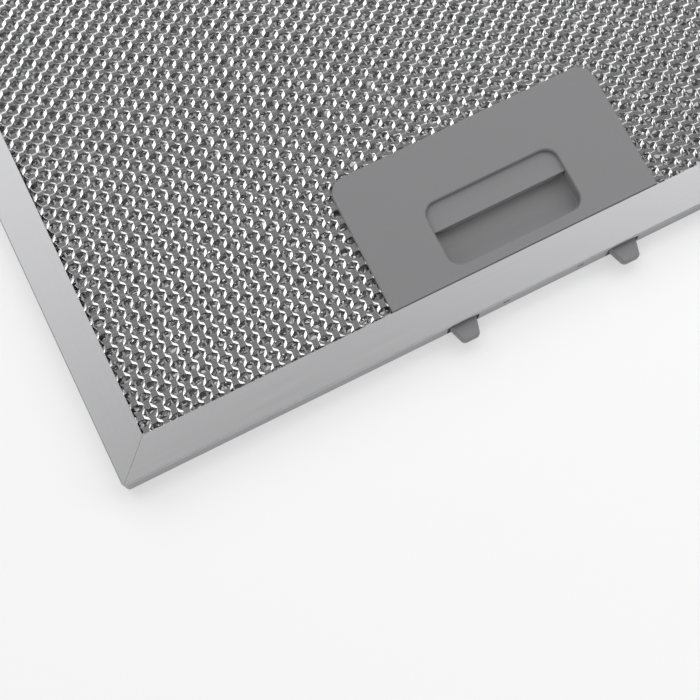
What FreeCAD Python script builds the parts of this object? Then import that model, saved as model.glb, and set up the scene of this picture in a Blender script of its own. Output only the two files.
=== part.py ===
import FreeCAD, Part
import math
import os

# Cooker hood grease filter: a pack of expanded aluminium mesh held in a folded channel frame,
# with a sprung two-tongue latch let into the middle of one long edge.
# Millimetres. x runs along the latch edge from its middle, y runs inwards from the outer face of
# the latch edge, z runs from the rear face to the front face that is seen in the kitchen.

# Channel frame, folded from one strip
FRAME_LENGTH = 320.0
FRAME_DEPTH = 260.0
FRAME_HEIGHT = 9.0
SHEET = 0.6
FLANGE = 13.2
BEND_RADIUS = 1.0
CORNER_RADIUS = 1.6
MITRE_GAP = 0.2
JOINT_TAB_LENGTH = 12.0
JOINT_TAB_PLAY = 0.1

# Mesh pack
PACK_EDGE_PLAY = 1.0
PACK_FACE_PLAY = 0.3
OUTER_MESH_RISE = 1.5
INNER_LAYERS = 3
OUTER_CELL_LENGTH = 44.0
OUTER_CELL_WIDTH = 32.4
OUTER_STRAND_CREST = 1.6
OUTER_STRAND_FOOT = 4.4
INNER_CELL_LENGTH = 88.0
INNER_CELL_WIDTH = 65.0
INNER_STRAND = 8.0
SMALLEST_CELL_SHARE = 0.2

# Latch cover plates
PLATE_WIDTH = 104.2
PLATE_REACH = 65.6
PLATE_CORNER = 6.6
PLATE_SINK = 0.1
PLATE_WALL = 1.4
RIM = 0.8
RIM_EASE = 0.4
PLATE_GAP = 0.25
LIP_FIT = 0.1
LIP_NEAR = 1.0
PLATE_SIDE_LAP = 4.1
PLATE_FAR_LAP = 3.6
BOX_WALL = 1.2
CUTOUT_PLAY = 0.4

# Finger well in the front plate
WELL_WIDTH = 52.0
WELL_NEAR = 18.0
WELL_FAR = 43.0
WELL_CORNER = 5.0
WELL_FLOOR = 2.8
WELL_WALL = 1.2

# Latch slide
TRAVEL = 7.0
RUNNING_GAP = 0.3
GRIP_EDGE = 32.9
GRIP_STRIP = 1.4
GRIP_WALL = 1.6
GRIP_WALL_WIDTH = 47.0
GRIP_WALL_CORNER = 3.5
SLIDE_BACK = 46.0
SLIDE_CORNER = 2.0
ARM_WIDTH = 8.4
ARM_BOTTOM = 2.6
TONGUE_SPACING = 62.8
TONGUE_ROOT = 10.0
TONGUE_TIP = 6.4
TONGUE_REACH = 6.6
TONGUE_INSIDE = 8.0
TONGUE_TOP = 6.6
TONGUE_BOTTOM = 3.0
TONGUE_TIP_HEIGHT = 2.4
TONGUE_TIP_ROUND = 1.8
TONGUE_EDGE_EASE = 0.7
TONGUE_SLOT = 12.2
SLOT_TOP = 7.6

# Snap lugs of the front plate in the latch edge
LUG_SPACING = 29.2
LUG_WIDTH = 1.3
LUG_HEIGHT = 1.2
LUG_LEVEL = 5.8
LUG_HOLE_PLAY = 0.5
LUG_STEM = 1.2

# Posts, rails and stop inside the latch box
POST_DIAMETER = 4.0
POST_INSET = 5.0
POST_NEAR = 20.0
POST_SOCKET = 0.8
POST_PLAY = 0.1
RAIL_WIDTH = 4.0
RAIL_LENGTH = 30.0
STOP_WIDTH = 16.0

# Return springs
SPRING_LEVEL = 4.6
SPRING_DIAMETER = 4.2
SPRING_WIRE = 0.5
SPRING_TURNS = 5
SPRING_FLATS = 8
WIRE_FLATS = 5
SPRING_END_PLAY = 0.1
PEG_DIAMETER = 2.6
PEG_LENGTH = 3.0

# Levels and places that follow from the driving dimensions
HALF_LENGTH = FRAME_LENGTH / 2
FLANGE_UNDER = FRAME_HEIGHT - SHEET
PACK_BOTTOM = SHEET + PACK_FACE_PLAY
PACK_TOP = FLANGE_UNDER - PACK_FACE_PLAY
INNER_RISE = (PACK_TOP - PACK_BOTTOM - 2 * OUTER_MESH_RISE) / INNER_LAYERS
PACK_INSET = SHEET + PACK_EDGE_PLAY
PLATE_NEAR = FLANGE + PLATE_GAP
PLATE_FACE = FRAME_HEIGHT - PLATE_SINK
PLATE_UNDER = PLATE_FACE - PLATE_WALL
BACK_INNER = PLATE_SINK + RIM
BOX_WIDTH = PLATE_WIDTH - 2 * PLATE_SIDE_LAP
BOX_REACH = PLATE_REACH - PLATE_FAR_LAP
BOX_FAR = BOX_REACH - BOX_WALL
SLIDE_TOP = PLATE_UNDER - RUNNING_GAP
STRIP_BOTTOM = SLIDE_TOP - GRIP_STRIP
ARM_OUTER = TONGUE_SPACING / 2 + TONGUE_ROOT / 2
ARM_INNER = ARM_OUTER - ARM_WIDTH
SIDES = (-1, 1)

# How far a cut runs past the face that it opens, and the slack in telling edges apart
BEYOND = 1.0
SLACK = 1e-6


def vec(x, y, z):
    return FreeCAD.Vector(x, y, z)


def block(x0, x1, y0, y1, z0, z1):
    """Box between two opposite corners."""
    return Part.makeBox(x1 - x0, y1 - y0, z1 - z0, vec(x0, y0, z0))


def rounded_wire(corners, z):
    """Closed outline through (x, y, radius) corners at one level, each corner a tangent arc."""
    rounds = []
    for k, (x, y, radius) in enumerate(corners):
        here = vec(x, y, z)
        before = vec(corners[k - 1][0], corners[k - 1][1], z) - here
        after = vec(*corners[(k + 1) % len(corners)][:2], z) - here
        before.normalize()
        after.normalize()
        half = before.getAngle(after) / 2
        middle = (before + after).normalize()
        run = radius / math.tan(half)
        crest = radius / math.sin(half) - radius
        rounds.append((here + before * run, here + middle * crest, here + after * run, radius))
    edges = []
    for k, (start, crest, end, radius) in enumerate(rounds):
        if radius > 0:
            edges.append(Part.Arc(start, crest, end).toShape())
        following = rounds[(k + 1) % len(rounds)][0]
        edges.append(Part.makeLine(end, following))
    return Part.Wire(edges)


def prism(corners, z0, z1):
    """Upright solid over a rounded outline."""
    return Part.Face(rounded_wire(corners, z0)).extrude(vec(0, 0, z1 - z0))


def rectangle(half_width, y0, y1, near_round=0.0, far_round=0.0):
    """Outline corners of a rectangle centred on x, with one radius for each end."""
    return [
        (-half_width, y0, near_round),
        (half_width, y0, near_round),
        (half_width, y1, far_round),
        (-half_width, y1, far_round),
    ]


def edges_at_level(shape, z):
    """Edges that lie wholly in one horizontal plane."""
    return [e for e in shape.Edges if all(abs(v.Z - z) < SLACK for v in e.Vertexes)]


def folded_block(x0, x1, y0, y1, z0, z1, corner, bend):
    """Block with bends along its top and bottom edges, inside a wall with rounded upright corners."""
    bent = block(x0, x1, y0, y1, z0, z1)
    bent = bent.makeFillet(bend, edges_at_level(bent, z0) + edges_at_level(bent, z1))
    wall = [(x0, y0, corner), (x1, y0, corner), (x1, y1, corner), (x0, y1, corner)]
    return bent.common(prism(wall, z0, z1))


def mitre_slits():
    """Slits at 45 degrees that part the flanges at the four corners and leave the web whole."""
    stop = BEND_RADIUS + MITRE_GAP
    length = (FLANGE - stop) * math.sqrt(2)
    half = MITRE_GAP / 2
    slits = []
    for side in SIDES:
        for y, inward in ((0.0, 1), (FRAME_DEPTH, -1)):
            slit = block(0, length + BEYOND, -half, half, -BEYOND, FRAME_HEIGHT + BEYOND)
            angle = math.degrees(math.atan2(inward, -side))
            slit.rotate(vec(0, 0, 0), vec(0, 0, 1), angle)
            slit.translate(vec(side * (HALF_LENGTH - stop), y + inward * stop, 0))
            slits.append(slit)
    return slits


def strip_joint_slit():
    """Upright slit at the far right corner, where the two ends of the strip meet."""
    x = HALF_LENGTH - BEND_RADIUS - MITRE_GAP
    y = FRAME_DEPTH - BEND_RADIUS - 2 * MITRE_GAP
    return block(x - MITRE_GAP, x, y, FRAME_DEPTH + BEYOND, -BEYOND, FRAME_HEIGHT + BEYOND)


def strip_joint_tab():
    """End of the strip turned behind the web of the far rail."""
    outer = FRAME_DEPTH - SHEET - JOINT_TAB_PLAY
    web_inside = HALF_LENGTH - SHEET
    return block(
        web_inside - JOINT_TAB_LENGTH,
        web_inside + SHEET / 2,
        outer - SHEET,
        outer,
        SHEET + BEND_RADIUS,
        FLANGE_UNDER - BEND_RADIUS,
    )


def web_hole(x, width, z0, z1):
    """Rectangular hole through the web of the latch edge."""
    return block(x - width / 2, x + width / 2, -BEYOND, PACK_INSET, z0, z1)


def frame():
    """U channel folded round four corners, open towards the middle."""
    outside = folded_block(
        -HALF_LENGTH, HALF_LENGTH, 0, FRAME_DEPTH, 0, FRAME_HEIGHT, CORNER_RADIUS, BEND_RADIUS
    )
    channel = folded_block(
        SHEET - HALF_LENGTH,
        HALF_LENGTH - SHEET,
        SHEET,
        FRAME_DEPTH - SHEET,
        SHEET,
        FLANGE_UNDER,
        CORNER_RADIUS - SHEET,
        BEND_RADIUS - SHEET,
    )
    window = block(
        FLANGE - HALF_LENGTH,
        HALF_LENGTH - FLANGE,
        FLANGE,
        FRAME_DEPTH - FLANGE,
        -BEYOND,
        FRAME_HEIGHT + BEYOND,
    )
    cuts = [window, strip_joint_slit()] + mitre_slits()
    lug_hole = LUG_WIDTH + 2 * LUG_HOLE_PLAY
    lug_rise = LUG_HEIGHT / 2 + LUG_HOLE_PLAY / 2
    for side in SIDES:
        cuts.append(web_hole(side * TONGUE_SPACING / 2, TONGUE_SLOT, SHEET, SLOT_TOP))
        lug = side * LUG_SPACING / 2
        cuts.append(web_hole(lug, lug_hole, LUG_LEVEL - lug_rise, LUG_LEVEL + lug_rise))
    return outside.cut(channel).cut(cuts).fuse(strip_joint_tab())


def cell_cutter(length, width, crest, foot, rise, crest_up):
    """Tapered rhombic opening: the strands round it are roof shaped, from foot width to crest width."""
    inradius = length * width / 2 / math.hypot(length, width)
    wires = []
    for z, strand in ((0.0, foot if crest_up else crest), (rise, crest if crest_up else foot)):
        share = 1 - strand / 2 / inradius
        a = share * length / 2
        b = share * width / 2
        wires.append(rounded_wire([(-a, 0, 0), (0, -b, 0), (a, 0, 0), (0, b, 0)], z))
    return Part.makeLoft(wires, True, True)


def cell_centres(length, width, phase):
    """Staggered rows of cell centres that cover the frame's opening."""
    rows = int(FRAME_DEPTH / width) + 1
    columns = int(HALF_LENGTH / length) + 1
    centres = []
    for row in range(-rows, rows + 1):
        shift = (row + phase) % 2 * length / 2
        y = FRAME_DEPTH / 2 + row * width / 2
        centres += [(shift + column * length, y) for column in range(-columns - 1, columns + 1)]
    return centres


def open_area(z0, z1):
    """What the flanges and the latch plate leave open, as a solid between two levels."""
    half = HALF_LENGTH - FLANGE
    opening = block(-half, half, FLANGE, FRAME_DEPTH - FLANGE, z0, z1)
    plate = block(-PLATE_WIDTH / 2, PLATE_WIDTH / 2, 0, PLATE_REACH, z0, z1)
    return opening.cut(plate)


def mesh_layer(bottom, rise, length, width, crest, foot, phase, crest_up=True):
    """Expanded sheet with rhombic openings, cut away round the latch box."""
    sheet = block(
        PACK_INSET - HALF_LENGTH,
        HALF_LENGTH - PACK_INSET,
        PACK_INSET,
        FRAME_DEPTH - PACK_INSET,
        bottom,
        bottom + rise,
    )
    half = BOX_WIDTH / 2 + CUTOUT_PLAY
    cutout = block(-half, half, 0, BOX_REACH + CUTOUT_PLAY, bottom - BEYOND, bottom + rise + BEYOND)
    cutter = cell_cutter(length, width, crest, foot, rise, crest_up)
    area = open_area(bottom, bottom + rise)
    cells = []
    for x, y in cell_centres(length, width, phase):
        cell = cutter.translated(vec(x, y, bottom)).common(area)
        if cell.Volume > SMALLEST_CELL_SHARE * cutter.Volume:
            cells.append(cell)
    return sheet.cut([cutout] + cells)


def outer_mesh(bottom, crest_up):
    """Coarse mesh on a face of the pack, its ridges towards that face."""
    return mesh_layer(
        bottom,
        OUTER_MESH_RISE,
        OUTER_CELL_LENGTH,
        OUTER_CELL_WIDTH,
        OUTER_STRAND_CREST,
        OUTER_STRAND_FOOT,
        0,
        crest_up,
    )


def inner_mesh(index):
    """One of the filter layers between the two coarse meshes, staggered against its neighbour."""
    bottom = PACK_BOTTOM + OUTER_MESH_RISE + index * INNER_RISE
    return mesh_layer(
        bottom, INNER_RISE, INNER_CELL_LENGTH, INNER_CELL_WIDTH, INNER_STRAND, INNER_STRAND, index
    )


def well_outline(wall=0.0):
    """Outline of the finger well, or of its outside when a wall is added."""
    return rectangle(
        WELL_WIDTH / 2 + wall, WELL_NEAR - wall, WELL_FAR + wall, WELL_CORNER + wall, WELL_CORNER + wall
    )


def finger_well():
    """Hollow of the finger well: a dish whose far end runs on square under the grip strip."""
    half = WELL_WIDTH / 2
    hollow = block(-half, half, WELL_NEAR, WELL_FAR, WELL_FLOOR, PLATE_FACE + BEYOND)
    near = [e for e in hollow.Edges if e.CenterOfMass.y < WELL_FAR - BEYOND]
    rounded = [e for e in near if e.CenterOfMass.z < PLATE_FACE]
    return hollow.makeFillet(WELL_CORNER, rounded).common(prism(well_outline(), WELL_FLOOR, FRAME_HEIGHT))


def post_places():
    """Centres of the four posts that join the two plates."""
    x = BOX_WIDTH / 2 - POST_INSET
    return [(side * x, y) for side in SIDES for y in (POST_NEAR, BOX_REACH - POST_INSET)]


def spring_peg(x, y0):
    """Short peg along y that keeps a return spring in place."""
    return Part.makeCylinder(PEG_DIAMETER / 2, PEG_LENGTH, vec(x, y0, SPRING_LEVEL), vec(0, 1, 0))


def front_face():
    """Thin front face of the latch with the well's opening, both edges eased."""
    plate = prism(
        rectangle(PLATE_WIDTH / 2, PLATE_NEAR, PLATE_REACH, 0, PLATE_CORNER), PLATE_FACE - RIM, PLATE_FACE
    )
    plate = plate.cut(prism(well_outline(), PLATE_FACE - RIM - BEYOND, PLATE_FACE + BEYOND))
    return plate.makeChamfer(RIM_EASE, edges_at_level(plate, PLATE_FACE))


def latch_front_plate():
    """Front plate with its lip under the flange, box walls, finger well, lugs and spring pegs."""
    half = BOX_WIDTH / 2
    body = prism(rectangle(half, PLATE_NEAR, BOX_REACH), PLATE_UNDER, PLATE_FACE - RIM)
    lip = block(-half, half, LIP_NEAR, PLATE_NEAR + PLATE_WALL, PLATE_UNDER, FLANGE_UNDER - LIP_FIT)
    walls = block(-half, half, LIP_NEAR, BOX_REACH, BACK_INNER, PLATE_UNDER)
    walls = walls.cut(block(BOX_WALL - half, half - BOX_WALL, 0, BOX_FAR, 0, FRAME_HEIGHT))
    well_outside = prism(well_outline(WELL_WALL), WELL_FLOOR - WELL_WALL, PLATE_UNDER)
    slide_way = block(
        -half,
        half,
        GRIP_EDGE - RUNNING_GAP,
        BOX_FAR,
        STRIP_BOTTOM - RUNNING_GAP,
        PLATE_UNDER,
    )
    stop = block(
        -STOP_WIDTH / 2,
        STOP_WIDTH / 2,
        SLIDE_BACK + TRAVEL + RUNNING_GAP,
        BOX_FAR,
        STRIP_BOTTOM,
        PLATE_UNDER,
    )
    pieces = [lip, walls, well_outside.cut(slide_way), stop]
    for side in SIDES:
        x = side * LUG_SPACING / 2
        low = LUG_LEVEL - LUG_HEIGHT / 2
        left = x - LUG_WIDTH / 2
        right = x + LUG_WIDTH / 2
        pieces.append(block(left, right, LIP_NEAR, LIP_NEAR + LUG_STEM, low, PLATE_UNDER))
        pieces.append(block(left, right, LIP_FIT, LIP_NEAR, low, low + LUG_HEIGHT))
        pieces.append(spring_peg(side * TONGUE_SPACING / 2, BOX_FAR - PEG_LENGTH))
    solid = body.fuse(pieces)
    socket = Part.makeCylinder(POST_DIAMETER / 2 + POST_PLAY, POST_SOCKET + POST_PLAY)
    sockets = [socket.translated(vec(x, y, PLATE_UNDER)) for x, y in post_places()]
    return solid.cut(finger_well()).fuse(front_face()).cut(sockets).removeSplitter()


def tongue(x):
    """Tapered tongue with a rounded tip, eased top edges and a ramp on its rear side."""
    root = TONGUE_ROOT / 2
    tip = TONGUE_TIP / 2
    outline = [
        (x - tip, -TONGUE_REACH, TONGUE_TIP_ROUND),
        (x + tip, -TONGUE_REACH, TONGUE_TIP_ROUND),
        (x + root, 0, TONGUE_TIP_ROUND),
        (x + root, TONGUE_INSIDE, 0),
        (x - root, TONGUE_INSIDE, 0),
        (x - root, 0, TONGUE_TIP_ROUND),
    ]
    solid = prism(outline, TONGUE_BOTTOM, TONGUE_TOP)
    eased = [e for e in edges_at_level(solid, TONGUE_TOP) if e.CenterOfMass.y < TONGUE_INSIDE - BEYOND]
    solid = solid.makeChamfer(TONGUE_EDGE_EASE, eased)
    ramp = Part.Face(
        Part.makePolygon(
            [
                vec(x - TONGUE_ROOT, 0, TONGUE_BOTTOM),
                vec(x - TONGUE_ROOT, -TONGUE_REACH, TONGUE_TOP - TONGUE_TIP_HEIGHT),
                vec(x - TONGUE_ROOT, -TONGUE_REACH, TONGUE_BOTTOM),
                vec(x - TONGUE_ROOT, 0, TONGUE_BOTTOM),
            ]
        )
    ).extrude(vec(2 * TONGUE_ROOT, 0, 0))
    return solid.cut(ramp)


def grip_wall():
    """Wall that the finger pulls, hanging into the well with rounded lower corners."""
    half = GRIP_WALL_WIDTH / 2
    wall = block(-half, half, GRIP_EDGE, GRIP_EDGE + GRIP_WALL, WELL_FLOOR + RUNNING_GAP, SLIDE_TOP)
    low = [
        e
        for e in wall.Edges
        if abs(abs(e.tangentAt(e.FirstParameter).y) - 1) < SLACK and e.CenterOfMass.z < SLIDE_TOP - BEYOND
    ]
    return wall.makeFillet(GRIP_WALL_CORNER, low)


def latch_slide():
    """Slide of one moulding: grip strip and wall, two arms beside the well, two tongues."""
    strip = prism(
        rectangle(ARM_OUTER, GRIP_EDGE, SLIDE_BACK, 0, SLIDE_CORNER), STRIP_BOTTOM, SLIDE_TOP
    )
    pieces = [grip_wall()]
    for side in SIDES:
        x = side * TONGUE_SPACING / 2
        low, high = sorted((side * ARM_INNER, side * ARM_OUTER))
        arm_near = TONGUE_INSIDE - SHEET
        pieces.append(block(low, high, arm_near, SLIDE_BACK, ARM_BOTTOM, SLIDE_TOP))
        pieces.append(tongue(x))
        pieces.append(spring_peg(x, SLIDE_BACK))
    return strip.fuse(pieces).removeSplitter()


def latch_rear_plate():
    """Rear plate with its lip inside the channel, four posts and the rails under the arms."""
    plate = prism(
        rectangle(PLATE_WIDTH / 2, PLATE_NEAR, PLATE_REACH, 0, PLATE_CORNER), PLATE_SINK, BACK_INNER
    )
    plate = plate.makeChamfer(RIM_EASE, edges_at_level(plate, PLATE_SINK))
    half = BOX_WIDTH / 2 - BOX_WALL - RUNNING_GAP
    lip_bottom = SHEET + LIP_FIT
    pieces = [block(-half, half, LIP_NEAR, PLATE_NEAR + PLATE_WALL, lip_bottom, lip_bottom + RIM)]
    for x, y in post_places():
        height = PLATE_UNDER + POST_SOCKET - BACK_INNER
        pieces.append(Part.makeCylinder(POST_DIAMETER / 2, height, vec(x, y, BACK_INNER)))
    for side in SIDES:
        x = side * (ARM_INNER + ARM_OUTER) / 2
        near = TONGUE_INSIDE + TRAVEL + BEYOND
        pieces.append(
            block(
                x - RAIL_WIDTH / 2,
                x + RAIL_WIDTH / 2,
                near,
                near + RAIL_LENGTH,
                BACK_INNER,
                ARM_BOTTOM - RUNNING_GAP,
            )
        )
    return plate.fuse(pieces).removeSplitter()


def return_spring(x):
    """Coil spring between the end of a slide arm and the far wall of the latch box, with flats."""
    start = SLIDE_BACK + SPRING_END_PLAY + SPRING_WIRE / 2
    length = BOX_FAR - SLIDE_BACK - 2 * SPRING_END_PLAY - SPRING_WIRE
    radius = SPRING_DIAMETER / 2
    steps = SPRING_TURNS * SPRING_FLATS
    turn = 2 * math.pi / SPRING_FLATS
    path = [
        vec(
            x + radius * math.cos(k * turn),
            start + length * k / steps,
            SPRING_LEVEL + radius * math.sin(k * turn),
        )
        for k in range(steps + 1)
    ]
    section = Part.makePolygon(
        [
            path[0]
            + vec(
                SPRING_WIRE / 2 * math.cos(2 * math.pi * k / WIRE_FLATS),
                SPRING_WIRE / 2 * math.sin(2 * math.pi * k / WIRE_FLATS),
                0,
            )
            for k in range(WIRE_FLATS + 1)
        ]
    )
    return Part.makePolygon(path).makePipeShell([section], True, False, 1)


def export(name, shape):
    """Writes a node with the origin under the middle of the filter's footprint, tongues included."""
    shape.translate(vec(0, (TONGUE_REACH - FRAME_DEPTH) / 2, 0))
    shape.exportStep(f"parts/{name}.step")


def main():
    os.makedirs("parts", exist_ok=True)
    export("frame", frame())
    export("front_mesh", outer_mesh(PACK_TOP - OUTER_MESH_RISE, True))
    for index in range(INNER_LAYERS):
        export(f"inner_mesh_{index + 1}", inner_mesh(index))
    export("rear_mesh", outer_mesh(PACK_BOTTOM, False))
    export("latch_front_plate", latch_front_plate())
    export("latch_slide", latch_slide())
    export("latch_rear_plate", latch_rear_plate())
    for side, name in zip(SIDES, ("left", "right")):
        export(f"return_spring_{name}", return_spring(side * TONGUE_SPACING / 2))


main()
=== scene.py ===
import math

import bpy
import numpy as np
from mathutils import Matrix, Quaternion, Vector


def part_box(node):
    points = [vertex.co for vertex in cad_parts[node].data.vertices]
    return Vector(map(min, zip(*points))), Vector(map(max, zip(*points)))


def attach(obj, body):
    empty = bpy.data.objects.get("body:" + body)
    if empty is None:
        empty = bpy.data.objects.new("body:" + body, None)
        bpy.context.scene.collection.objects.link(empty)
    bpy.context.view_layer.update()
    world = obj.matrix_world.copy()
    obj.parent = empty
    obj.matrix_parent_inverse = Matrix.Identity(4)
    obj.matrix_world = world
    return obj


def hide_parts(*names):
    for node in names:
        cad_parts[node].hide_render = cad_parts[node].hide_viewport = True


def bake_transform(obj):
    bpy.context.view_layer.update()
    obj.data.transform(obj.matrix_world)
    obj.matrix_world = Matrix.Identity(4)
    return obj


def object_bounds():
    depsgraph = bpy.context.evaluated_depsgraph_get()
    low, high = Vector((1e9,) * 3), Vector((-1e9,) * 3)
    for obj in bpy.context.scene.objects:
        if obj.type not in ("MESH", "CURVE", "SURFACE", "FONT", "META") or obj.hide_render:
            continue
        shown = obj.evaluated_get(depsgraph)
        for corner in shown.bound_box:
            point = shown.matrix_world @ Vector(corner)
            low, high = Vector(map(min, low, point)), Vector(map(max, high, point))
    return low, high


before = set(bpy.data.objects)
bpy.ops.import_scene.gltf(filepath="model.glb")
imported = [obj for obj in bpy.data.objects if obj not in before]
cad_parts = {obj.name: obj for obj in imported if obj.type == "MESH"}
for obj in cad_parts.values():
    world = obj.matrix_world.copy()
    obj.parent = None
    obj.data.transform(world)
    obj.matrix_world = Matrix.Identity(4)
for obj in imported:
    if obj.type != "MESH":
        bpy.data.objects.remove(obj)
CAD_LOW, CAD_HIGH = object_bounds()

# Cooker hood grease filter: expanded aluminium mesh in a folded channel frame, with a moulded latch.
# Metres in the row frame; the small sizes below are millimetres and go through MM.
MM = 0.001

# Camera, found from the frame's edges and the mesh lattice
CAMERA_PLACE = (-0.11262, -0.21498, 0.45651)
CAMERA_TURN = (13.191, 0.753, -26.505)
CAMERA_LENS = 69.2
SENSOR = 36.0

# Expanded mesh on both faces: pitches, half height of a knot seen from above, tilt of the knots
LONG_PITCH = 7.61 * MM
SHORT_PITCH = 5.58 * MM
STRAND = 1.285 * MM
KNOT_TILT = math.radians(19)
FOIL = 0.3 * MM

# Turn of the mesh in its frame, and the middle of one rising strand
MESH_TURN = math.radians(-0.95)
MESH_ANCHOR = (-4.40 * MM, -1.75 * MM)

# Where a strand leaves its knot, in shares of the long pitch from the knot's middle: the end of the slit
# on one edge and the turn round it, and the start and the end of the bend on the other edge
SLIT_END = 0.135
SLIT_TURN = 0.01
BEND_START = 0.095
BEND_END = 0.18

# How far an edge has climbed at the four rulings from one knot to the next, and how far the face stands
# proud of a flat strip there
EDGE_CLIMB = (0.0, 0.03, 0.80, 0.95)
FACE_CROWN = (-0.045 * MM, 0.08 * MM, 0.07 * MM, 0.045 * MM)

# Twist of the strands, as a share of the face's lean, over the rulings of a period: the lower edge leans
# more where a strand leaves the knot below it, and less at the other end
STRAND_TWIST = 0.2
TWIST_SIGNS = (0, 1, -1, 0, 0, -1, 1, 0)

# Crease along the middle of a knot, as a change of the lower edge's normal; half a period on it is the
# upper edge's
KNOT_CREASE = (0.14, 0.0, 0.0, 0.0, 0.0, 0.0, 0.0, 0.14)

# Rulings of a period at the ends of its knots
KNOT_RULINGS = [0, 3, 4, 7]

# Columns and rows of strands past the sheet's half diagonal, before the sheet is cut to its outline
SPARE_COLUMNS = 3
SPARE_ROWS = 4

# Finer layers inside the pack: pitches, strand, turn of each layer in degrees
INNER_LONG_PITCH = 5.4 * MM
INNER_SHORT_PITCH = 3.7 * MM
INNER_STRAND = 0.5 * MM
INNER_TURNS = (14.0, -31.0, 52.0)

# Width of the frame's flanges, and how far the mesh runs in under them and under the latch plate
FLANGE = 13.2 * MM
MESH_COVER = 1.2 * MM
PLATE_LAP = 4.0 * MM

# Outer radius of the solid's folds, of its corners, and of the real strip's tighter folds
FOLD = 1.0 * MM
CORNER = 1.6 * MM
TIGHT_FOLD = 0.45 * MM

# Points nearer to a surface than TOUCH lie on it, normals nearer to each other than SAME_NORMAL are one,
# and points that agree to MERGE_DIGITS places in metres are doubles
TOUCH = 0.005 * MM
SAME_NORMAL = 0.1
MERGE_DIGITS = 7

# Mitre seams of the frame: a limit that finds the slits' points, and the share of their width that is kept
SEAM = 0.5 * MM
SEAM_SHARE = 0.4

# Finger well, from the near wall of the frame and the rear plane, the underside of the plate round it, and
# the radius of the well's coves in the solid and on the real plate
WELL_HALF = 26.0 * MM
WELL_NEAR = 18.0 * MM
WELL_FAR = 43.0 * MM
WELL_FLOOR = 2.8 * MM
PLATE_UNDER = 7.5 * MM
COVE = 5.0 * MM
TIGHT_COVE = 1.0 * MM

# Return spring wire, with its points to a turn and round the wire
SPRING_RADIUS = 2.1 * MM
WIRE_RADIUS = 0.25 * MM
SPRING_TURNS = 5
TURN_POINTS = 24
WIRE_POINTS = 10

# Edges sharper than this stay sharp on a smooth surface
SHARP_EDGE = math.radians(50)

# Floor: its reach in metres, its drop below the object, and the share of plain white in what the eye,
# mirrors and glass see of it
FLOOR_REACH = 60.0
FLOOR_DROP = 0.05 * MM
FLOOR_WHITE = 0.4

# Grey room: its level below and above the two heights in degrees between which it changes
ROOM_HEIGHTS = (40, 58)
ROOM_LOW = 0.10
ROOM_HIGH = 0.22

# Softboxes: place in metres, width, height, roll in degrees and level. The right one whitens the rising
# strands, the left one the lenses on the falling strands, the front one lights the folds of the near edge,
# the two at the top light the flanges and, on the right, the creases of the knots, and the back one fills.
SOFTBOXES = {
    "lamp_right": ((0.82, -0.12, 0.50), 1.1, 0.44, 30, 2.3),
    "lamp_left": ((-2.417, -1.452, 1.026), 2.3, 1.78, 0, 1.7),
    "lamp_front": ((0.0, -1.0, 0.64), 0.9, 0.7, 0, 1.4),
    "lamp_top_right": ((0.54, 0.60, 1.25), 1.25, 1.0, 0, 1.5),
    "lamp_top_left": ((-0.52, 0.60, 1.25), 1.10, 1.0, 0, 1.1),
    "lamp_back": ((-0.2, 1.30, 0.75), 2.2, 0.8, 0, 2.3),
}


def linear(hex_colour):
    """sRGB hex to linear RGBA."""
    srgb = np.array([int(hex_colour[k : k + 2], 16) for k in (1, 3, 5)]) / 255
    low = srgb / 12.92
    high = ((srgb + 0.055) / 1.055) ** 2.4
    return (*np.where(srgb <= 0.04045, low, high), 1.0)


def add(tree, kind, settings=None, **inputs):
    """Adds a node; inputs are values or output sockets, by socket name with _ for a space, or by _number.

    A colour Mix has its factor at socket 0, its colours at 6 and 7, and its result at output 2.
    """
    node = tree.nodes.new(kind)
    for name, value in (settings or {}).items():
        setattr(node, name, value)
    for name, value in inputs.items():
        key = int(name[1:]) if name[1:].isdigit() else name.replace("_", " ")
        if isinstance(value, bpy.types.NodeSocket):
            tree.links.new(value, node.inputs[key])
        else:
            node.inputs[key].default_value = value
    return node


def new_material(name):
    """Empty node material with its principled shader and the place of each point on the piece."""
    material = bpy.data.materials.new(name)
    material.use_nodes = True
    tree = material.node_tree
    place = add(tree, "ShaderNodeTexCoord").outputs["Object"]
    return material, tree, tree.nodes["Principled BSDF"], place


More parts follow.
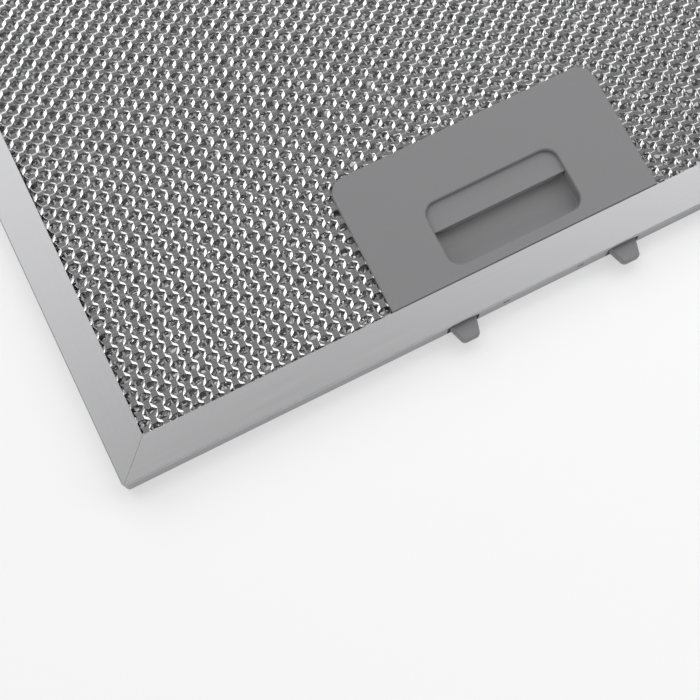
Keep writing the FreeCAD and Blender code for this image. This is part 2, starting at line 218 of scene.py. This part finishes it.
def satin_aluminium():
    """Rolled aluminium strip, satin: broad soft reflections and faint lines along each rail.

    The lines turn with the strip at the mitres. The rolls leave them about 0.05 mm apart; they are drawn
    0.6 mm apart and 40 mm long, because finer ones don't show. Seen along its surface such strip is duller
    than polished metal, so the specular tint is below white.
    """
    material, tree, shader, place = new_material("satin_rolled_aluminium")
    low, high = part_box("frame")
    middle, half = (low + high) / 2, (high - low) / 2
    centred = add(tree, "ShaderNodeMapping", Vector=place, Location=-middle)
    spread = add(tree, "ShaderNodeVectorMath", {"operation": "ABSOLUTE"}, _0=centred.outputs[0])
    spread = add(tree, "ShaderNodeSeparateXYZ", Vector=spread.outputs[0])
    across, along = spread.outputs["X"], spread.outputs["Y"]
    lead = add(tree, "ShaderNodeMath", {"operation": "SUBTRACT"}, _0=across, _1=along)
    mitre = half.x - half.y
    side_rail = add(tree, "ShaderNodeMath", {"operation": "GREATER_THAN"}, _0=lead.outputs[0], _1=mitre)
    line, run = 1 / (0.6 * MM), 1 / (40 * MM)
    grains = []
    for scale in ((run, line, line), (line, run, line)):
        stretched = add(tree, "ShaderNodeMapping", Vector=place, Scale=scale)
        noise = add(tree, "ShaderNodeTexNoise", Vector=stretched.outputs[0], Scale=1.0, Detail=2.0)
        grains.append(noise.outputs["Fac"])
    grain = add(tree, "ShaderNodeMix", Factor=side_rail.outputs[0], A=grains[0], B=grains[1])
    grain = grain.outputs["Result"]
    tone = add(
        tree, "ShaderNodeMix", {"data_type": "RGBA"}, _0=grain, _6=linear("#B6B6B8"), _7=linear("#BEBEBF")
    )
    rough = add(tree, "ShaderNodeMapRange", Value=grain, To_Min=0.34, To_Max=0.46)
    shader.inputs["Metallic"].default_value = 1.0
    shader.inputs["Specular Tint"].default_value = linear("#CFCFD0")
    tree.links.new(tone.outputs[2], shader.inputs["Base Color"])
    tree.links.new(rough.outputs["Result"], shader.inputs["Roughness"])
    return material


def bright_mesh_aluminium():
    """Expanded aluminium sheet: bright strands that mirror the room softly.

    Stretching the metal leaves a fine orange peel of about 0.1 mm, drawn 1 mm wide so that it shows.
    """
    material, tree, shader, place = new_material("bright_expanded_aluminium")
    peel = add(tree, "ShaderNodeTexNoise", Vector=place, Scale=1 / (1.0 * MM), Detail=2.0).outputs["Fac"]
    tone = add(
        tree, "ShaderNodeMix", {"data_type": "RGBA"}, _0=peel, _6=linear("#DEDEDF"), _7=linear("#EAEAEA")
    )
    rough = add(tree, "ShaderNodeMapRange", Value=peel, To_Min=0.12, To_Max=0.26)
    shader.inputs["Metallic"].default_value = 1.0
    tree.links.new(tone.outputs[2], shader.inputs["Base Color"])
    tree.links.new(rough.outputs["Result"], shader.inputs["Roughness"])
    return material


def foil_aluminium_painted_shade():
    """Thin expanded foil of the inner layers: dull and even.

    Its tone and gloss change slightly from strand to strand, over about 3 mm. Both tones are set well below
    bare foil as painted shade for the inside of the pack, where little light reaches.
    """
    material, tree, shader, place = new_material("foil_aluminium_painted_shade")
    patch = add(tree, "ShaderNodeTexNoise", Vector=place, Scale=1 / (3.0 * MM), Detail=2.0).outputs["Fac"]
    # Painted shade: both tones are darker than bare foil, standing in for the shade inside the pack
    tone = add(
        tree, "ShaderNodeMix", {"data_type": "RGBA"}, _0=patch, _6=linear("#8C8C8D"), _7=linear("#B0B0B0")
    )
    rough = add(tree, "ShaderNodeMapRange", Value=patch, To_Min=0.4, To_Max=0.6)
    shader.inputs["Metallic"].default_value = 1.0
    tree.links.new(tone.outputs[2], shader.inputs["Base Color"])
    tree.links.new(rough.outputs["Result"], shader.inputs["Roughness"])
    return material


def matt_latch_plastic():
    """Grey ABS from a spark eroded mould: matt and even, with a fine grain.

    The mould's grain is about 0.1 mm and is drawn 0.4 mm wide, the finest that shows.
    """
    material, tree, shader, place = new_material("matt_moulded_abs")
    grain = add(tree, "ShaderNodeTexNoise", Vector=place, Scale=1 / (0.4 * MM), Detail=3.0).outputs["Fac"]
    tone = add(
        tree, "ShaderNodeMix", {"data_type": "RGBA"}, _0=grain, _6=linear("#7D7D7F"), _7=linear("#858586")
    )
    bump = add(tree, "ShaderNodeBump", Height=grain, Strength=0.2, Distance=0.05 * MM)
    shader.inputs["Roughness"].default_value = 0.6
    tree.links.new(tone.outputs[2], shader.inputs["Base Color"])
    tree.links.new(bump.outputs["Normal"], shader.inputs["Normal"])
    return material


def drawn_spring_steel():
    """Drawn spring wire: smooth bright steel, with slight changes of gloss from the die."""
    material, tree, shader, place = new_material("drawn_spring_steel")
    marks = add(tree, "ShaderNodeTexNoise", Vector=place, Scale=1 / (0.5 * MM), Detail=2.0).outputs["Fac"]
    rough = add(tree, "ShaderNodeMapRange", Value=marks, To_Min=0.2, To_Max=0.35)
    shader.inputs["Base Color"].default_value = linear("#B8B8B6")
    shader.inputs["Metallic"].default_value = 1.0
    tree.links.new(rough.outputs["Result"], shader.inputs["Roughness"])
    return material


def surface(name, points, faces, material, smooth=True, normals=None):
    """Object at the origin from an array of points and a list of faces, with corner normals if given."""
    data = bpy.data.meshes.new(name)
    data.from_pydata(points.tolist(), [], faces)
    data.materials.append(material)
    data.polygons.foreach_set("use_smooth", np.full(len(data.polygons), smooth))
    data.set_sharp_from_angle(angle=SHARP_EDGE)
    if normals is not None:
        data.normals_split_custom_set(normals.tolist())
    data.update()
    made = bpy.data.objects.new(name, data)
    bpy.context.scene.collection.objects.link(made)
    return made


def strand_edges(long_pitch, short_pitch, strand):
    """Lower and upper edge of one period of a strand row, at eight rulings from knot to knot.

    The lower edge keeps to the knot's middle line up to the end of the slit. Then it climbs to the next
    knot by EDGE_CLIMB, and sinks as much as the tilt of the knots asks. The upper edge is the lower one
    turned half round about the strand's middle, and the falling strand mirrors the rising one.
    """
    half = np.array([long_pitch / 2, 0, 0])
    climb = np.array(EDGE_CLIMB)
    x = np.array([SLIT_END, SLIT_END + SLIT_TURN, 0.5 - BEND_END, 0.5 - BEND_START]) * long_pitch
    y = (short_pitch / 2 - strand) * climb - short_pitch / 4
    z = -strand * math.tan(KNOT_TILT) * climb
    lower = np.stack([x, y, z], -1)
    upper = half - lower[::-1]
    mirror = np.array([-1, 1, 1])
    lower = np.concatenate([lower, 2 * half + mirror * lower[::-1]])
    upper = np.concatenate([upper, 2 * half + mirror * upper[::-1]])
    return lower - half / 2, upper - half / 2


def open_sheet(x, y):
    """True for points of the plane between the flanges and round the latch plate, with some cover."""
    low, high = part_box("frame")
    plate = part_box("latch_front_plate")[1]
    inset = FLANGE - MESH_COVER
    inside = (x > low.x + inset) & (x < high.x - inset) & (y > low.y + inset) & (y < high.y - inset)
    latch = (np.abs(x) < plate.x - PLATE_LAP) & (y < plate.y - PLATE_LAP)
    return inside & ~latch


def flat_normals(face):
    """Normals of a face, from its points by row, ruling and place across, that keep its flats flat.

    Every other stretch between two rulings is a flat of a knot or a strand, and both its rulings take
    its normal, so that the bends between the flats take up all the turning. The strands' twist then
    scales the lean of the lower edge's normals and, the other way round, that of the upper edge's.
    """
    first = face[:, 1:, 1:] - face[:, :-1, :-1]
    second = face[:, :-1, 1:] - face[:, 1:, :-1]
    strips = np.cross(first, second)
    strips /= np.linalg.norm(strips, axis=-1, keepdims=True)
    ruling = np.arange(face.shape[1])
    flat = np.clip(ruling - (ruling + 1) % 2, 0, face.shape[1] - 2)
    strips = strips[:, flat]
    between = strips[:, :, :-1] + strips[:, :, 1:]
    between /= np.linalg.norm(between, axis=-1, keepdims=True)
    normals = np.concatenate([strips[:, :, :1], between, strips[:, :, -1:]], 2)
    twist = STRAND_TWIST * np.tile(TWIST_SIGNS, face.shape[1] // len(TWIST_SIGNS))[:, None]
    normals[:, :, 0, :2] *= 1 + twist
    normals[:, :, -1, :2] *= 1 - twist
    crease = np.tile(KNOT_CREASE, face.shape[1] // len(KNOT_CREASE))
    normals[:, :, 0, 1] += crease
    normals[:, :, -1, 1] += np.roll(crease, len(KNOT_CREASE) // 2)
    return normals / np.linalg.norm(normals, axis=-1, keepdims=True)


def expanded_sheet(name, material, crest, upwards, weave, turn, coarse):
    """Expanded metal sheet: strand rows half a short pitch apart, every other one half a long pitch on.

    Each row carries a section along its rulings: lower edge, crown of the face on a coarse sheet, upper
    edge, and the underside one foil thickness below it. The sheet's highest points lie at crest, or its
    lowest ones where it faces down. A fine sheet has only the rulings at the ends of the knots.
    """
    long_pitch, short_pitch, strand = weave
    lower, upper = strand_edges(*weave)
    crown = np.array(FACE_CROWN + FACE_CROWN[::-1])
    if not coarse:
        lower, upper = lower[KNOT_RULINGS], upper[KNOT_RULINGS]
    span = 0.5 * math.hypot(*(CAD_HIGH.xy - CAD_LOW.xy))
    wide = int(span / long_pitch) + SPARE_COLUMNS
    tall = 2 * int(span / short_pitch) + SPARE_ROWS
    columns = np.arange(-wide, wide)
    rows = np.arange(-tall, tall + 1)
    step_x = (columns[None, :, None] - (rows[:, None, None] % 2) / 2) * long_pitch
    step_y = rows[:, None, None] * short_pitch / 2
    steps = np.stack(np.broadcast_arrays(step_x, step_y, 0.0), -1)
    lower = (lower + steps).reshape(len(rows), -1, 3)
    upper = (upper + steps).reshape(len(rows), -1, 3)
    middle = (lower + upper) / 2
    outward = np.cross(np.gradient(middle, axis=1), upper - lower)
    outward /= np.linalg.norm(outward, axis=-1, keepdims=True)
    under = upper - FOIL * outward
    if coarse:
        proud = middle + np.tile(crown, len(columns))[None, :, None] * outward
        section = np.stack([lower, proud, upper, under], 2)
    else:
        section = np.stack([lower, upper, under], 2)
    cos, sin = math.cos(turn), math.sin(turn)
    section = section @ np.array([[cos, sin, 0], [-sin, cos, 0], [0, 0, 1]])
    normals = np.zeros_like(section)
    if coarse:
        normals[:, :, :3] = flat_normals(section[:, :, :3])
    section[..., 2] -= section[..., 2].max()
    if not upwards:
        section[..., 2] *= -1
        normals[..., 2] *= -1
    section += np.array([*MESH_ANCHOR, crest])

    kept = open_sheet(*np.moveaxis(section[..., :2].mean(2), -1, 0))
    joined = kept[:, :-1] & kept[:, 1:]
    sides = section.shape[2]
    index = np.arange(section[..., 0].size).reshape(section.shape[:3])
    here, there = index[:, :-1][joined], index[:, 1:][joined]
    ahead = np.roll(np.arange(sides), -1)
    quads = np.stack([here, there, there[:, ahead], here[:, ahead]], -1)
    shown = np.broadcast_to((np.arange(sides) < sides - 2)[None, :, None], quads.shape)
    blank = np.zeros((len(rows), 1), bool)
    starts = joined & ~np.concatenate([blank, joined[:, :-1]], 1)
    ends = joined & ~np.concatenate([joined[:, 1:], blank], 1)
    caps = np.concatenate([index[:, :-1][starts], index[:, 1:][ends][:, ::-1]])
    if not upwards:
        quads, caps = quads[..., ::-1], caps[:, ::-1]
    corner_normals = normals.reshape(-1, 3)[quads.ravel()] * shown.reshape(-1, 1)
    corner_normals = np.concatenate([corner_normals, np.zeros((caps.size, 3))])
    used, flat = np.unique(np.concatenate([quads.ravel(), caps.ravel()]), return_inverse=True)
    faces = flat[: quads.size].reshape(-1, 4).tolist()
    faces += flat[quads.size :].reshape(-1, sides).tolist()
    points = section.reshape(-1, 3)[used]
    return surface(name, points, faces, material, normals=corner_normals if coarse else None)


def mesh_pack(sheet_metal, foil):
    """Coarse sheets on both faces and finer turned layers between them."""
    coarse = (LONG_PITCH, SHORT_PITCH, STRAND)
    fine = (INNER_LONG_PITCH, INNER_SHORT_PITCH, INNER_STRAND)
    front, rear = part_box("front_mesh")[1].z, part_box("rear_mesh")[0].z
    sheets = {
        "front_mesh": expanded_sheet("front_sheet", sheet_metal, front, True, coarse, MESH_TURN, True),
        "rear_mesh": expanded_sheet("rear_sheet", sheet_metal, rear, False, coarse, MESH_TURN, True),
    }
    for number, degrees in enumerate(INNER_TURNS, 1):
        node = f"inner_mesh_{number}"
        name, level, turn = f"inner_sheet_{number}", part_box(node)[1].z, math.radians(degrees)
        sheets[node] = expanded_sheet(name, foil, level, True, fine, turn, False)
    for node, piece in sheets.items():
        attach(piece, "filter")
        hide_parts(node)


def merged_node(name):
    """Points of a CAD node with its doubles merged, its triangles' corners in a row, and their normals.

    A triangle that loses a side in the merge is left out.
    """
    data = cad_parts[name].data
    points = np.empty(3 * len(data.vertices))
    corners = np.empty(len(data.loops), int)
    normals = np.empty(3 * len(data.loops))
    data.vertices.foreach_get("co", points)
    data.loops.foreach_get("vertex_index", corners)
    data.corner_normals.foreach_get("vector", normals)
    points = points.reshape(-1, 3)
    rounded = points.round(MERGE_DIGITS)
    first, merged = np.unique(rounded, axis=0, return_index=True, return_inverse=True)[1:]
    corners = merged.ravel()[corners].reshape(-1, 3)
    whole = (corners != np.roll(corners, 1, axis=1)).all(1)
    return points[first], corners[whole].ravel(), normals.reshape(-1, 3, 3)[whole].reshape(-1, 3)


def channel_frame(material):
    """Folded channel, with outer bends as tight as the real strip's.

    A point of a bend lies some way in from a wall and some way in from a face. Both distances shrink by
    the ratio of the two radii, so the arc gets the smaller radius. Points on the round corners only slide
    up or down to the new arc, and points that would pass a corner stop at it. The outer ends of the mitre
    slits follow the bend, and the slits' sides close up by SEAM_SHARE. Where a corner of a face had the old
    arc's normal, it gets the new arc's.
    """
    points, corners, normals = merged_node("frame")
    low, high = (np.array(corner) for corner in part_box("frame"))
    half, middle = (high - low) / 2, (high + low) / 2
    side = np.sign(points - middle)
    gaps = half - np.abs(points - middle)
    walls, depth = gaps[:, :2], gaps[:, 2:]
    near = FOLD + TOUCH
    off_arc = np.abs(np.hypot(FOLD - walls, FOLD - depth) - FOLD)
    bend = (off_arc < TOUCH) & (walls < near) & (depth < near)
    rounding = np.maximum(CORNER - walls, 0)
    on_corner = np.linalg.norm(rounding, axis=1, keepdims=True) > CORNER - TOUCH
    slit_end = (rounding.min(1) > 0) & ~bend.any(1) & (depth[:, 0] < TOUCH) & ~on_corner[:, 0]

    tight = np.where(bend & ~on_corner, walls * TIGHT_FOLD / FOLD, walls)
    tight = np.where(slit_end[:, None], walls - FOLD + TIGHT_FOLD, tight)
    seam = (np.abs(walls[:, :1] - walls[:, 1:]) < SEAM) & ~bend.any(1, keepdims=True) & ~on_corner
    mitre = tight.mean(1, keepdims=True)
    tight = np.where(seam, mitre + SEAM_SHARE * (tight - mitre), tight)
    rounding = np.maximum(CORNER - tight, 0)
    back = CORNER / np.maximum(np.linalg.norm(rounding, axis=1, keepdims=True), CORNER)
    tight = np.where(rounding > 0, CORNER - rounding * back, tight)
    lean = np.where(bend, np.clip(1 - tight / TIGHT_FOLD, 0, 1), 0)
    sunk = TIGHT_FOLD * (1 - np.sqrt(1 - lean.max(1, keepdims=True) ** 2))
    sunk = np.where(bend.any(1, keepdims=True), sunk, depth)
    points = middle + side * (half - np.concatenate([tight, sunk], 1))
    for wall in (0, 1):
        old = np.zeros_like(points)
        old[:, wall] = 1 - walls[:, wall] / FOLD
        old[:, 2] = 1 - depth[:, 0] / FOLD
        new = np.zeros_like(points)
        new[:, wall] = lean[:, wall]
        new[:, 2] = np.sqrt(1 - lean[:, wall] ** 2)
        apart = np.linalg.norm(normals - (side * old)[corners], axis=1)
        turned = bend[corners, wall] & (apart < SAME_NORMAL)
        normals[turned] = (side * new)[corners][turned]
    piece = surface("channel_frame", points, corners.reshape(-1, 3).tolist(), material, normals=normals)
    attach(piece, "filter")
    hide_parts("frame")


def latch_face(material):
    """Front plate of the latch, with a finger well as steep as the real one.

    A point of the well's coves lies some way in from its wall, whose outline has round corners, and some
    way above its floor. Below the plate's underside both distances shrink by the ratio of the two radii.
    Points on the far corners only slide down to the new cove, and the cove's normals stay as they are.
    """
    points, corners, normals = merged_node("latch_front_plate")
    near_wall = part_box("frame")[0].y
    x = np.abs(points[:, 0])
    y = points[:, 1] - near_wall
    height = points[:, 2] - WELL_FLOOR
    walls = np.stack([WELL_HALF - x, y - WELL_NEAR], 1)
    far = np.stack([WELL_HALF - x, WELL_FAR - y], 1)
    rounding = np.maximum(COVE - walls, 0)
    reach = np.linalg.norm(rounding, axis=1)
    inset = COVE - reach
    inside = (walls.min(1) > -TOUCH) & (far.min(1) > -TOUCH) & (height > TOUCH)
    inside &= points[:, 2] < PLATE_UNDER - TOUCH
    cove = inside & (np.abs(np.hypot(COVE - inset, COVE - height) - COVE) < TOUCH)
    far_reach = np.linalg.norm(np.maximum(COVE - far, 0), axis=1)
    far_corner = cove & (far_reach > COVE - TOUCH) & (far[:, 1] < COVE)
    share = 1 - TIGHT_COVE / COVE
    step = np.where(cove & ~far_corner, share * inset / np.maximum(reach, TOUCH), 0.0)
    points[:, 0] += np.sign(points[:, 0]) * rounding[:, 0] * step
    points[:, 1] -= rounding[:, 1] * step
    lean = np.clip(1 - walls[:, 0] / TIGHT_COVE, 0, 1)
    slid = TIGHT_COVE * (1 - np.sqrt(1 - lean**2))
    points[:, 2] -= np.where(far_corner, height - slid, np.where(cove, share * height, 0.0))
    piece = surface("latch_face", points, corners.reshape(-1, 3).tolist(), material, normals=normals)
    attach(piece, "filter")
    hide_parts("latch_front_plate")


def wire_coil(name, material, node):
    """Round wire coil: a circle carried along a helix between the ends of the spring's node."""
    low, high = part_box(node)
    centre = (low + high) / 2
    turns = np.linspace(0, SPRING_TURNS, SPRING_TURNS * TURN_POINTS + 1)
    ring = np.linspace(0, 2 * math.pi, WIRE_POINTS, endpoint=False)
    angle = 2 * math.pi * turns
    along = low.y + WIRE_RADIUS + (high.y - low.y - 2 * WIRE_RADIUS) * turns / SPRING_TURNS
    out = np.stack([np.cos(angle), np.zeros_like(angle), np.sin(angle)], -1)
    path = SPRING_RADIUS * out + np.array([centre.x, 0, centre.z])
    path[:, 1] = along
    axis = np.array([0.0, 1.0, 0.0])
    wire = np.cos(ring)[None, :, None] * out[:, None] + np.sin(ring)[None, :, None] * axis
    points = path[:, None] + WIRE_RADIUS * wire
    index = np.arange(points[..., 0].size).reshape(points.shape[:2])
    turned = np.roll(index, -1, axis=1)
    quads = np.stack([index[:-1], index[1:], turned[1:], turned[:-1]], -1).reshape(-1, 4)
    faces = quads.tolist() + [index[0].tolist(), index[-1][::-1].tolist()]
    return surface(name, points.reshape(-1, 3), faces, material)


def return_springs(material):
    """Both coils, each built where its spring's node lies, in place of that node."""
    for side in ("left", "right"):
        node = f"return_spring_{side}"
        piece = wire_coil(f"coil_{side}", material, node)
        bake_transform(piece)
        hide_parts(node)


def dress_nodes(finishes):
    """Gives the CAD nodes their materials."""
    for name, material in finishes.items():
        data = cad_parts[name].data
        data.materials.clear()
        data.materials.append(material)


def studio_floor():
    """White floor that takes the object's shadow, the same to the eye as in mirrors and glass."""
    material = bpy.data.materials.new("white_floor")
    material.use_nodes = True
    tree = material.node_tree
    tree.nodes.clear()
    path = add(tree, "ShaderNodeLightPath").outputs
    larger = {"operation": "MAXIMUM"}
    glossy, through = path["Is Glossy Ray"], path["Is Transmission Ray"]
    mirrored = add(tree, "ShaderNodeMath", larger, _0=glossy, _1=through)
    seen = add(tree, "ShaderNodeMath", larger, _0=path["Is Camera Ray"], _1=mirrored.outputs[0])
    share = add(tree, "ShaderNodeMath", {"operation": "MULTIPLY"}, _0=seen.outputs[0], _1=FLOOR_WHITE)
    matt = add(tree, "ShaderNodeBsdfDiffuse", Color=linear("#FAFAFA"))
    glow = add(tree, "ShaderNodeEmission", Color=linear("#FFFFFF"), Strength=1.0)
    mixed = add(tree, "ShaderNodeMixShader", Fac=share.outputs[0], _1=matt.outputs[0], _2=glow.outputs[0])
    add(tree, "ShaderNodeOutputMaterial", Surface=mixed.outputs[0])
    corners = FLOOR_REACH * np.array([[-1, -1], [1, -1], [1, 1], [-1, 1]])
    points = np.column_stack([corners, np.full(4, CAD_LOW.z - FLOOR_DROP)])
    surface("floor", points, [[0, 1, 2, 3]], material, smooth=False)


def softbox(name, place, width, height, roll, level):
    """Area lamp that faces the object, rolled about its own axis, with its level as power over area."""
    lamp = bpy.data.lights.new(name, "AREA")
    lamp.shape = "RECTANGLE"
    lamp.size = width
    lamp.size_y = height
    lamp.energy = level * math.pi * width * height
    made = bpy.data.objects.new(name, lamp)
    made.location = place
    facing = (-Vector(place)).to_track_quat("-Z", "Y")
    made.rotation_euler = (facing @ Quaternion((0, 0, 1), math.radians(roll))).to_euler()
    bpy.context.scene.collection.objects.link(made)


def studio_light():
    """Six softboxes in a grey room that is a little lighter overhead, with a smooth change between."""
    world = bpy.data.worlds.new("studio")
    world.use_nodes = True
    tree = world.node_tree
    direction = add(tree, "ShaderNodeTexCoord").outputs["Generated"]
    split = add(tree, "ShaderNodeSeparateXYZ", Vector=direction).outputs
    below, above = (math.sin(math.radians(height)) for height in ROOM_HEIGHTS)
    level = add(
        tree,
        "ShaderNodeMapRange",
        {"interpolation_type": "SMOOTHSTEP"},
        Value=split["Z"],
        From_Min=below,
        From_Max=above,
        To_Min=ROOM_LOW,
        To_Max=ROOM_HIGH,
    )
    background = tree.nodes["Background"].inputs
    background["Color"].default_value = linear("#FFFFFF")
    tree.links.new(level.outputs["Result"], background["Strength"])
    bpy.context.scene.world = world
    for name, settings in SOFTBOXES.items():
        softbox(name, *settings)


def photo_camera():
    """Camera at the photograph's viewing angle."""
    scene = bpy.context.scene
    camera = bpy.data.cameras.new("camera")
    camera.lens = CAMERA_LENS
    camera.sensor_width = SENSOR
    made = bpy.data.objects.new("camera", camera)
    made.location = CAMERA_PLACE
    made.rotation_euler = [math.radians(angle) for angle in CAMERA_TURN]
    scene.collection.objects.link(made)
    scene.camera = made
    scene.view_settings.view_transform = "Standard"


plastic = matt_latch_plastic()
dress_nodes(
    {
        "latch_slide": plastic,
        "latch_rear_plate": plastic,
    }
)
channel_frame(satin_aluminium())
latch_face(plastic)
mesh_pack(bright_mesh_aluminium(), foil_aluminium_painted_shade())
return_springs(drawn_spring_steel())
studio_floor()
studio_light()
photo_camera()
